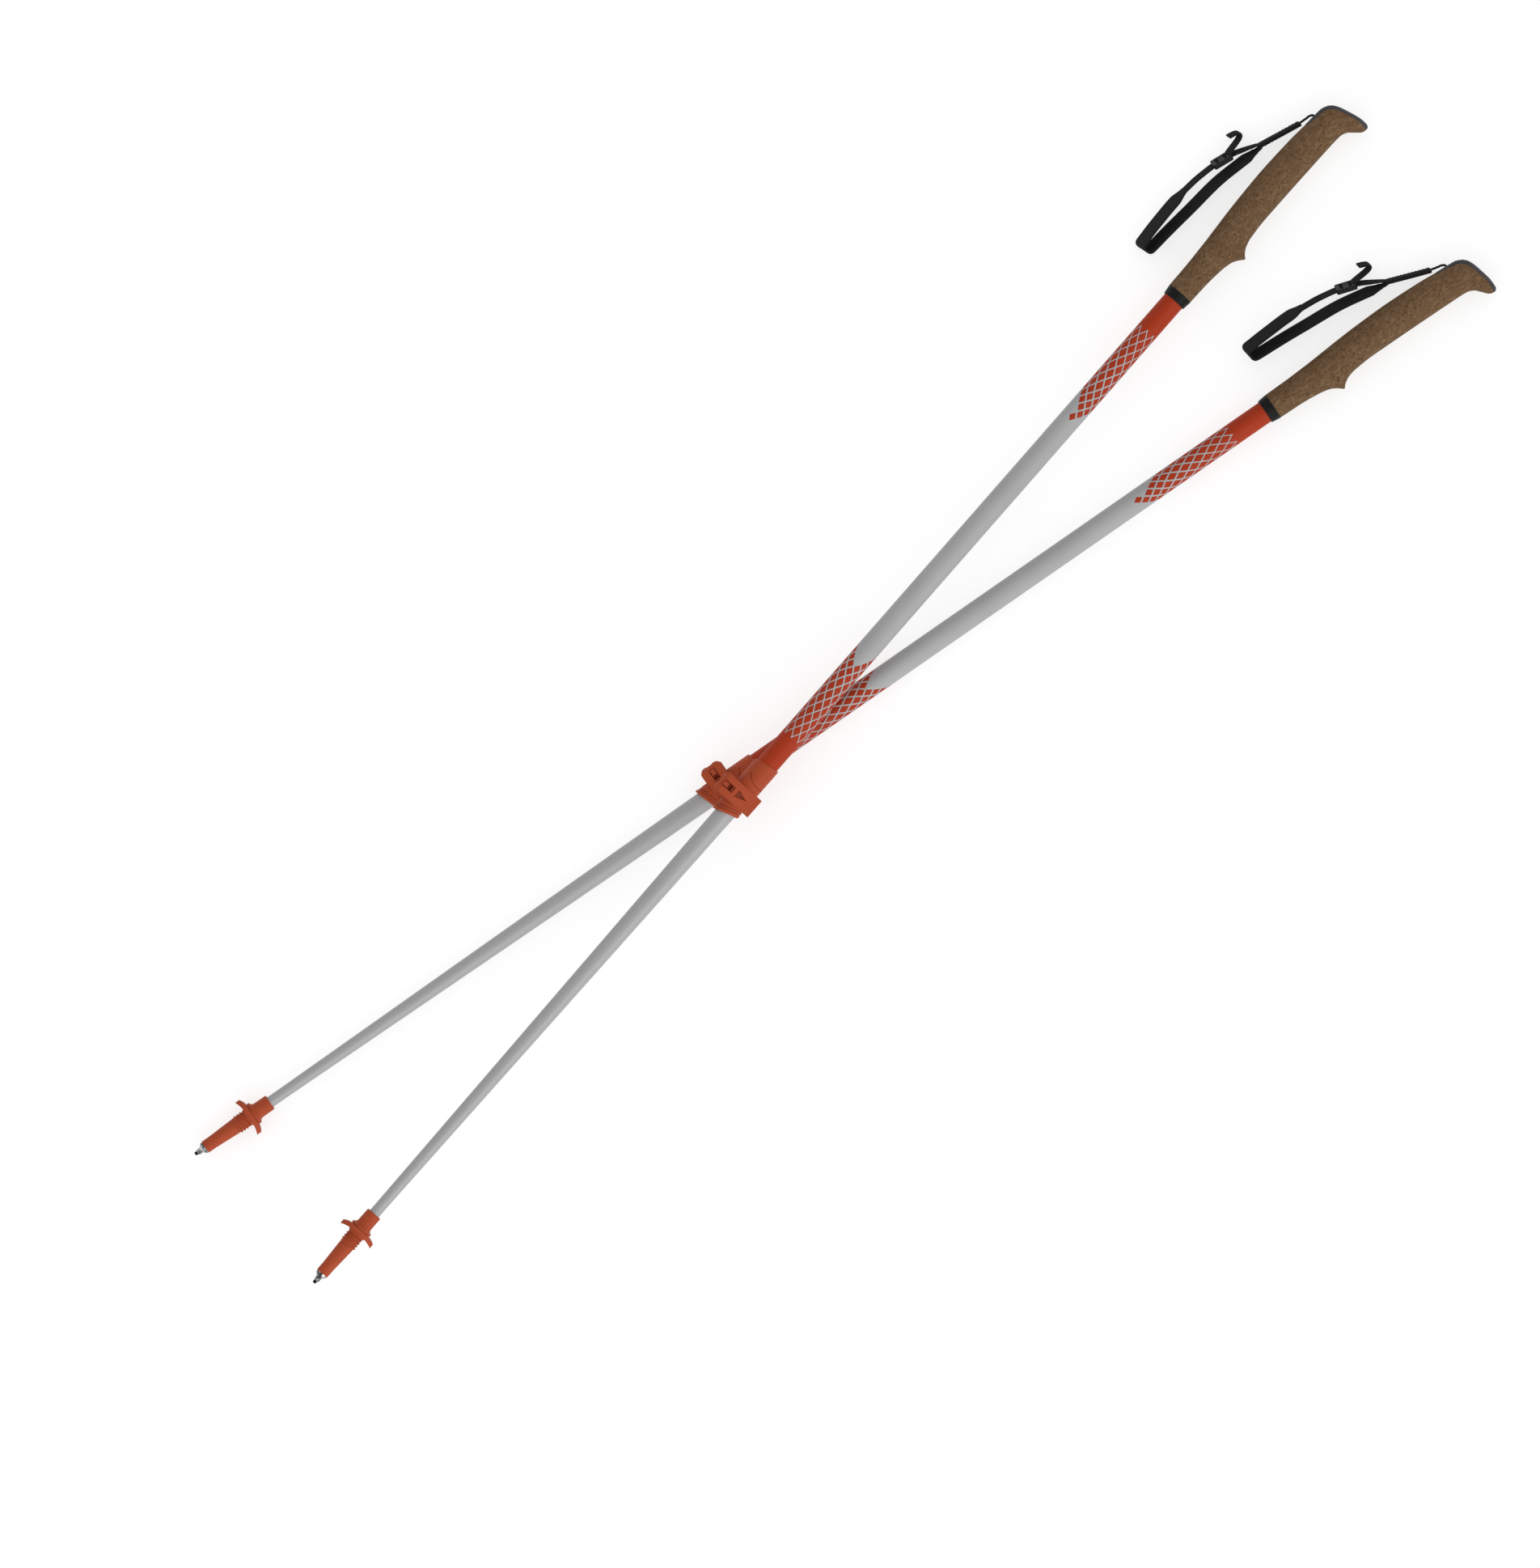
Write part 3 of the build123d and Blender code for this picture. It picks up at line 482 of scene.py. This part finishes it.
def ring_mesh(rings):
    """Faces that join rings of equal count; a fan closes each end."""
    count = len(rings[0])
    verts = [v for ring in rings for v in ring]
    faces = []
    for i in range(len(rings) - 1):
        for j in range(count):
            k = (j + 1) % count
            faces.append((i * count + j, i * count + k, (i + 1) * count + k, (i + 1) * count + j))
    for start, ring in ((0, rings[0]), (len(rings) - 1, rings[-1])):
        verts.append(sum((Vector(v) for v in ring), Vector()) / count)
        hub = len(verts) - 1
        faces += [(start * count + j, start * count + (j + 1) % count, hub) for j in range(count)]
    return verts, faces


def placed_rings(frame_matrix, rings):
    """Rings in millimetres in a pole's or a strap's frame, to the row frame in metres."""
    return [[frame_matrix @ (v * MM) for v in ring] for ring in rings]


def softened(node, name, width, material):
    """A copy of a CAD node with its sharp edges rounded, which replaces the node."""
    made = frame["nodes"][node].copy()
    made.data = made.data.copy()
    made.parent = None
    made.name = name
    for key in list(made.keys()):  # the CAD node's own marks
        del made[key]
    bpy.context.scene.collection.objects.link(made)
    bm = bmesh.new()
    bm.from_mesh(made.data)
    bmesh.ops.remove_doubles(bm, verts=bm.verts, dist=1e-6)
    bmesh.ops.dissolve_limit(bm, angle_limit=radians(1.0), verts=bm.verts, edges=bm.edges)
    bm.to_mesh(made.data)
    bm.free()
    bevel = made.modifiers.new("round", "BEVEL")
    bevel.width = width * MM
    bevel.segments = 3
    bevel.limit_method = "ANGLE"
    bevel.angle_limit = radians(35)
    dg = bpy.context.evaluated_depsgraph_get()
    dg.update()
    final = bpy.data.meshes.new_from_object(made.evaluated_get(dg))
    made.modifiers.clear()
    made.data = final
    made.data.materials.clear()
    made.data.materials.append(material)
    made.data.shade_smooth()
    made.data.set_sharp_from_angle(angle=radians(40))
    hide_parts(node)
    return made


def paint_faces(piece, side, material, chosen):
    """Gives some faces of a piece a second material, such as painted shade on an engraving's floor.
    """
    to_pole = pole_frame(side).inverted()
    turn = to_pole.to_3x3()
    piece.data.materials.append(material)
    for face in piece.data.polygons:
        if chosen((to_pole @ face.center) / MM, turn @ face.normal):
            face.material_index = 1


def on_arrow_shade(point, normal):
    """The arrow's floor, which gets painted shade: between the lever's face and its inside, facing
    up.
    """
    inside = abs(point.x - PIVOT[0]) < ARROW_HALF and ARROW_Y[0] < point.y < ARROW_Y[1]
    top = ARROW_TOP - ARROW_SLOPE * (ARROW_Y[1] - point.y)
    return inside and normal.z > 0.8 and ARROW_LOW < point.z < top


def on_crease_shade(point, normal):
    """The floors of the collar's moulded creases, which get painted shade."""
    outward = Vector((0, point.y, point.z)).normalized()
    return CREASE_R[0] < hypot(point.y, point.z) < CREASE_R[1] and outward.dot(normal) > 0.9


def on_shank(point, normal):
    """The bolt's steel shank."""
    return point.z < SHANK_TOP


# ---------------------------------------------------------------- grip
grip_x = np.array([row[0] for row in GRIP])
grip_values = np.array([row[1:] for row in GRIP])


def grip_slopes():
    """Slopes that keep each stretch of the outline between its two stations."""
    steps = np.diff(grip_x)[:, None]
    rates = np.diff(grip_values, axis=0) / steps
    slopes = np.zeros_like(grip_values)
    slopes[0], slopes[-1] = rates[0], rates[-1]
    for i in range(1, len(grip_x) - 1):
        same = rates[i - 1] * rates[i] > 0
        mean = 2 * rates[i - 1] * rates[i] / np.where(same, rates[i - 1] + rates[i], 1)
        slopes[i] = np.where(same, mean, 0)
    return slopes


GRIP_SLOPES = grip_slopes()


def grip_section(x):
    """Middle, half width and half thickness of the grip at x."""
    x = min(max(x, grip_x[0]), grip_x[-1])
    i = min(int(np.searchsorted(grip_x, x, side="right")) - 1, len(grip_x) - 2)
    h = grip_x[i + 1] - grip_x[i]
    t = (x - grip_x[i]) / h
    value = ((2 * t**3 - 3 * t**2 + 1) * grip_values[i] + (t**3 - 2 * t**2 + t) * h * GRIP_SLOPES[i]
             + (3 * t**2 - 2 * t**3) * grip_values[i + 1] + (t**3 - t**2) * h * GRIP_SLOPES[i + 1])
    back, front, half = value
    return (back + front) / 2, (back - front) / 2, half


def grip_point(x, angle, out=0.0):
    """A point of the grip's surface, or one that stands out of it."""
    middle, half_width, half = grip_section(x)
    y = middle + (half_width + out) * cos(angle)
    return Vector((x, y, (half + out) * sin(angle)))


def cap_edge(angle):
    """Where the cap's lower edge crosses one long line of the grip, by its plan outline."""
    for x in np.arange(CAP_START, grip_x[-1] - CAP_LAYER[0], 0.1):
        across = grip_point(x, angle).y + CAP_LAYER[1]
        middle, half_width, _ = grip_section(x + CAP_LAYER[0])
        if abs(across - middle) > half_width:
            return x
    return grip_x[-1] - CAP_LAYER[0]


def make_grip(side, cork, rubber):
    pole = pole_frame(side)
    angles = [tau * j / GRIP_SIDES for j in range(GRIP_SIDES)]
    edges = [cap_edge(a) for a in angles]
    edges = [(edges[j - 1] + 2 * edges[j] + edges[(j + 1) % GRIP_SIDES]) / 4
             for j in range(GRIP_SIDES)]
    first, last = grip_x[0], grip_x[-1]
    # up the bore to the cork's lower end, round its edge, and up to the cap
    rings = [[Vector((x, BORE_R * cos(a), BORE_R * sin(a))) for a in angles]
             for x in (BORE_END, first)]
    rings.append([grip_point(first, a, -1.0) for a in angles])
    rings.append([grip_point(first + 0.05, a, -0.15) for a in angles])
    for i in range(GRIP_RINGS + 1):
        f = i / GRIP_RINGS
        rings.append([grip_point(first + 0.25 + (e - 0.25 - first) * f, a)
                      for a, e in zip(angles, edges)])
    rings.append([grip_point(e + 0.3, a, -1.2) for a, e in zip(angles, edges)])
    verts, faces = ring_mesh(placed_rings(pole, rings))
    body = mesh_object(f"{side}_cork_grip", verts, faces, cork)
    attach(body, f"{side}_pole")
    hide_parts(f"{side}_grip_cork")

    rings = [[grip_point(e + 0.1, a, -1.0) for a, e in zip(angles, edges)],
             [grip_point(e + 0.1, a, 0.05) for a, e in zip(angles, edges)]]
    for i in range(1, CAP_RINGS + 1):
        f = i / CAP_RINGS
        fade = min(1.0, 6 * f) * min(1.0, 8 * (1 - f))
        ring = []
        for a, e in zip(angles, edges):
            x = e + 0.2 + (last - e - 0.2) * (1 - (1 - f)**1.6)
            wave = sin(tau * (x - CAP_START + RIB_SLANT * grip_point(x, a).y) / RIB_PITCH)
            ring.append(grip_point(x, a, CAP_OVER + RIB_HEIGHT * max(0.0, wave) * fade))
        rings.append(ring)
    verts, faces = ring_mesh(placed_rings(pole, rings))
    cap = mesh_object(f"{side}_grip_cap_cover", verts, faces, rubber)
    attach(cap, f"{side}_pole")
    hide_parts(f"{side}_grip_cap")


# ---------------------------------------------------------------- strap
def web_section(width, thickness):
    """A webbing's cross-section (across, up): flat faces with rounded, slightly fuller edges."""
    half, edge = width / 2, thickness / 2
    turns = [pi * k / 6 for k in range(7)]
    flats = [half - edge - (width - thickness) * f for f in (0.12, 0.3, 0.5, 0.7, 0.88)]
    top = [(edge * cos(a), half - edge + edge * sin(a)) for a in turns]
    left = [(-edge * WEB_WAIST, v) for v in flats]
    bottom = [(edge * cos(pi + a), -half + edge + edge * sin(pi + a)) for a in turns]
    right = [(edge * WEB_WAIST, -v) for v in flats]
    return top + left + bottom + right


def webbing_piece(name, plan, side, material, width, thickness, lean, shift=0.0):
    """Webbing on edge along the plan line.

    The width, and the lean in degrees, are functions of the share of the length."""
    line = curve_through([(x, y, 0) for x, y in plan], 1.2)
    lengths = lengths_along(line)
    rings, weave = [], []
    for i, point in enumerate(line):
        ahead = ahead_at(line, i)
        across = Vector((-ahead.y, ahead.x, 0))
        share = lengths[i] / lengths[-1]
        tilt = radians(lean(share))
        rise = Vector((0, -sin(tilt), cos(tilt)))
        ripple = RIPPLE * sin(lengths[i] / RIPPLE_LENGTH + len(name))
        section = web_section(width(share), thickness)
        rings.append([point + Vector((0, 0, STRAP_MID)) + across * (h + shift + ripple) + rise * v
                      for h, v in section])
        weave += [(lengths[i], v + (BACK_WEAVE if h < 0 else 0)) for h, v in section]
    weave += [(0, 0), (0, 0)]  # the hubs of the two ends
    verts, faces = ring_mesh(placed_rings(floor_frame(side), rings))
    made = mesh_object(name, verts, faces, material, weave=weave)
    made.data.set_sharp_from_angle(angle=radians(60))
    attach(made, f"{side}_strap")
    return made


def one_stitch(centre, long_way, wide_way, out):
    """Rings of a short dash that is thickest in its middle."""
    rings = []
    for t in (-STITCH_HALF, -0.5, 0, 0.5, STITCH_HALF):
        r = STITCH_R * (1 - 0.7 * abs(t))
        rings.append([centre + long_way * t + wide_way * r * cos(a) * 1.2 + out * r * sin(a)
                      for a in (tau * q / 6 for q in range(6))])
    return rings


def stitches(side, plan, lean, material):
    """Thread dashes along and across the stitched end, on both faces."""
    floor = floor_frame(side)
    line = curve_through([(x, y, 0) for x, y in plan], 0.5)
    lengths = lengths_along(line)
    first, last = STITCH_MARGIN, lengths[-1] - STITCH_MARGIN
    marks = []
    for k in range(STITCH_COUNT):
        s = first + (last - first) * k / (STITCH_COUNT - 1)
        marks += [(s, v, "along") for v in STITCH_ROWS]
    for v in STITCH_BARS:
        marks += [(first, v, "up"), (last, v, "up")]
    verts, faces = [], []
    tilt = radians(lean)
    rise = Vector((0, -sin(tilt), cos(tilt)))
    for s, v, way in marks:
        i = min(int(np.searchsorted(lengths, s)), len(line) - 2)
        ahead = (line[i + 1] - line[i]).normalized()
        across = Vector((-ahead.y, ahead.x, 0))
        long_way, wide_way = (ahead, rise) if way == "along" else (rise, ahead)
        for face in (1, -1):
            centre = line[i] + Vector((0, 0, STRAP_MID)) + rise * v + across * face * STITCH_OUT
            rings = one_stitch(centre, long_way, wide_way, across)
            dash_verts, dash_faces = ring_mesh(placed_rings(floor, rings))
            base = len(verts)
            verts += dash_verts
            faces += [tuple(base + q for q in face_verts) for face_verts in dash_faces]
    made = mesh_object(f"{side}_strap_stitches", verts, faces, material)
    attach(made, f"{side}_strap")


def steady(value):
    return lambda share: value


def palm_width(share):
    """The palm band's width, drawn in to the narrow webbing at both ends."""
    ends = min(share / 0.06, (1 - share) / 0.07, 1.0)
    return PALM_END_WIDTH + (PALM_WIDTH - PALM_END_WIDTH) * (0.5 - 0.5 * cos(pi * ends))


def near_lean(share):
    return STRAP_LEAN + (HEM_LEAN - STRAP_LEAN) * share**2


def adjuster_lean(share):
    """The strap's lean, and in the last fifth an even turn to the hem's."""
    return STRAP_LEAN + (HEM_LEAN - STRAP_LEAN) * max(0, share - 0.8) * 5


def link_cord(side, material):
    """The braided cord from the pin in the head to the hem, with three strands that show."""
    pin_height = joint(f"{side}_strap_swing")["pos_m"][2] / MM
    heights = [pin_height, pin_height, (pin_height + STRAP_MID) / 2, STRAP_MID]
    line = curve_through([(x, y, z) for (x, y), z in zip(LINK_PLAN, heights)], 0.4)
    angles = [tau * q / LINK_SIDES for q in range(LINK_SIDES)]
    rings = []
    for i, point in enumerate(line):
        ahead = ahead_at(line, i)
        one_way = ahead.cross(Vector((0, 0, 1))).normalized()
        other = ahead.cross(one_way)
        rings.append([point + (one_way * cos(a) + other * sin(a))
                      * LINK_R * (1 + 0.06 * cos(3 * a + i * 0.8)) for a in angles])
    verts, faces = ring_mesh(placed_rings(floor_frame(side), rings))
    return mesh_object(f"{side}_link_cord", verts, faces, material)


def make_strap(side, web, cord, plastic, thread):
    palm = webbing_piece(f"{side}_palm_band", PALM_PLAN, side, web, palm_width, PALM_THICKNESS,
                         steady(STRAP_LEAN))
    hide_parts(f"{side}_strap_palm")
    near = webbing_piece(f"{side}_near_webbing", NEAR_PLAN, side, web, steady(WEB_WIDTH),
                         WEB_THICKNESS, near_lean)
    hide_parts(f"{side}_strap_near")
    adjuster = webbing_piece(f"{side}_adjuster_webbing", ADJUSTER_PLAN, side, web,
                             steady(WEB_WIDTH), WEB_THICKNESS, adjuster_lean)
    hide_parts(f"{side}_strap_adjuster")
    tail = webbing_piece(f"{side}_tail_webbing", TAIL_PLAN, side, web, steady(WEB_WIDTH),
                         WEB_THICKNESS, steady(STRAP_LEAN))
    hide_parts(f"{side}_strap_tail")
    for layer, shift in (("inner", -HEM_LAYER), ("outer", HEM_LAYER)):
        hem = webbing_piece(f"{side}_hem_{layer}", HEM_PLAN, side, web, steady(HEM_WIDTH),
                            WEB_THICKNESS, steady(HEM_LEAN), shift)
        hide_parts(f"{side}_strap_hem")
    stitches(side, HEM_PLAN, HEM_LEAN, thread)

    link = link_cord(side, cord)
    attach(link, f"{side}_strap")
    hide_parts(f"{side}_strap_link")

    buckle = softened(f"{side}_strap_buckle", f"{side}_ladder_buckle", 0.45, plastic)
    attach(buckle, f"{side}_strap")


# ---------------------------------------------------------------- hard pieces
SHELLS = (("lock_collar", 0.4, "pole"), ("lock_lever", 0.4, "lever"), ("tension_bolt", 0.3, "pole"))


def paint(node, material):
    """Gives a CAD node that is kept as it is its material."""
    mesh = frame["nodes"][node].data
    mesh.materials.clear()
    mesh.materials.append(material)


def make_lock(side, material, details):
    """The collar, the lever and the bolt, with rounded edges and a second material in places:
    painted shade on the floors of the creases and the arrow, steel on the bolt's shank.
    """
    for name, width, body in SHELLS:
        piece = softened(f"{side}_{name}", f"{side}_{name}_shell", width, material)
        if name in details:
            paint_faces(piece, side, *details[name])
        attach(piece, f"{side}_{body}")


def make_strap_pin(side, material):
    pin = softened(f"{side}_strap_pin", f"{side}_domed_strap_pin", 1.0, material)
    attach(pin, f"{side}_pole")


# ---------------------------------------------------------------- surroundings
def make_floor():
    surface = Surface("pale_floor", Roughness=1.0, Specular_IOR_Level=0.0,
                      Emission_Color=(1, 1, 1, 1), Emission_Strength=0.6)
    speck = surface.noise(surface.place(), 40.0).outputs[0]
    surface.to("Base Color", surface.mix(speck, grey(0.42), grey(0.44)))
    corners = [(x * FLOOR_HALF, y * FLOOR_HALF, 0) for x, y in ((-1, -1), (1, -1), (1, 1), (-1, 1))]
    ground = mesh_object("floor", corners, [(0, 1, 2, 3)], surface.material, smooth=False)


def make_sky():
    scene = bpy.context.scene
    scene.view_settings.view_transform = "Standard"
    scene.world = bpy.data.worlds.new("studio")
    scene.world.use_nodes = True
    background = scene.world.node_tree.nodes["Background"]
    background.inputs["Color"].default_value = (1, 1, 1, 1)
    background.inputs["Strength"].default_value = SKY_STRENGTH


# ---------------------------------------------------------------- everything together
picture_right, picture_up = make_camera()
cork = cork_material()
orange = plastic_material("orange_red_plastic", (0.385, 0.064, 0.0225, 1), 0.5)
# a darker orange-red, painted on the arrow's floor as the shade in the engraving
arrow_painted_shade = plastic_material("orange_red_arrow_painted_shade", (0.235, 0.036, 0.012, 1), 0.6)
# a slightly darker orange-red, painted on the creases' floors as the shade in them
crease_painted_shade = plastic_material("orange_red_crease_painted_shade", (0.325, 0.053, 0.019, 1), 0.55)
black = plastic_material("black_plastic", (0.008, 0.0075, 0.0078, 1), 0.5, 0.08)
rubber = plastic_material("cap_rubber", (0.052, 0.055, 0.062, 1), 0.65, 0.12)
chrome = chrome_material()
carbide = metal_material("ground_carbide", (0.012, 0.012, 0.013, 1), 0.5)
steel = metal_material("plated_steel", (0.42, 0.42, 0.43, 1), 0.35)
# steel painted nearly black with an orange-red cast, as the shade in the lever's slot round the pin
pin_shade_steel = metal_material("pin_steel_painted_shade", (0.05, 0.028, 0.022, 1), 0.5)
web = webbing_material()
cord = cord_material()
thread = plastic_material("thread", (0.022, 0.022, 0.023, 1), 0.8, 0.1)
silver = metal_material("satin_alloy", (0.365, 0.365, 0.37, 1), 0.5, (0.06, 1, 1), 0.02, 0.1)

for side in SIDES:
    kept = {"carbide_tip": carbide, "tip_holder": chrome, "tip_ferrule": orange,
            "lower_tube": silver, "lower_bush": black, "upper_tube": red_tube_material(side),
            "lever_pin": pin_shade_steel, "tension_nut": steel, "grip_core": black}
    for name, material in kept.items():
        paint(f"{side}_{name}", material)
    # painted shade on the creases' and the arrow's floors, and steel on the bolt's shank
    make_lock(side, orange, {"lock_collar": (crease_painted_shade, on_crease_shade), "lock_lever": (arrow_painted_shade, on_arrow_shade),
                             "tension_bolt": (steel, on_shank)})
    make_strap_pin(side, steel)
    make_grip(side, cork, rubber)
    make_strap(side, web, cord, black, thread)

make_floor()
make_sky()
# the sun stands to the picture's lower right
sun_way = (picture_right - picture_up).normalized() * 0.75 + Vector((0, 0, 0.66))
make_sun("key", sun_way, SUN_STRENGTH, SUN_SPREAD)
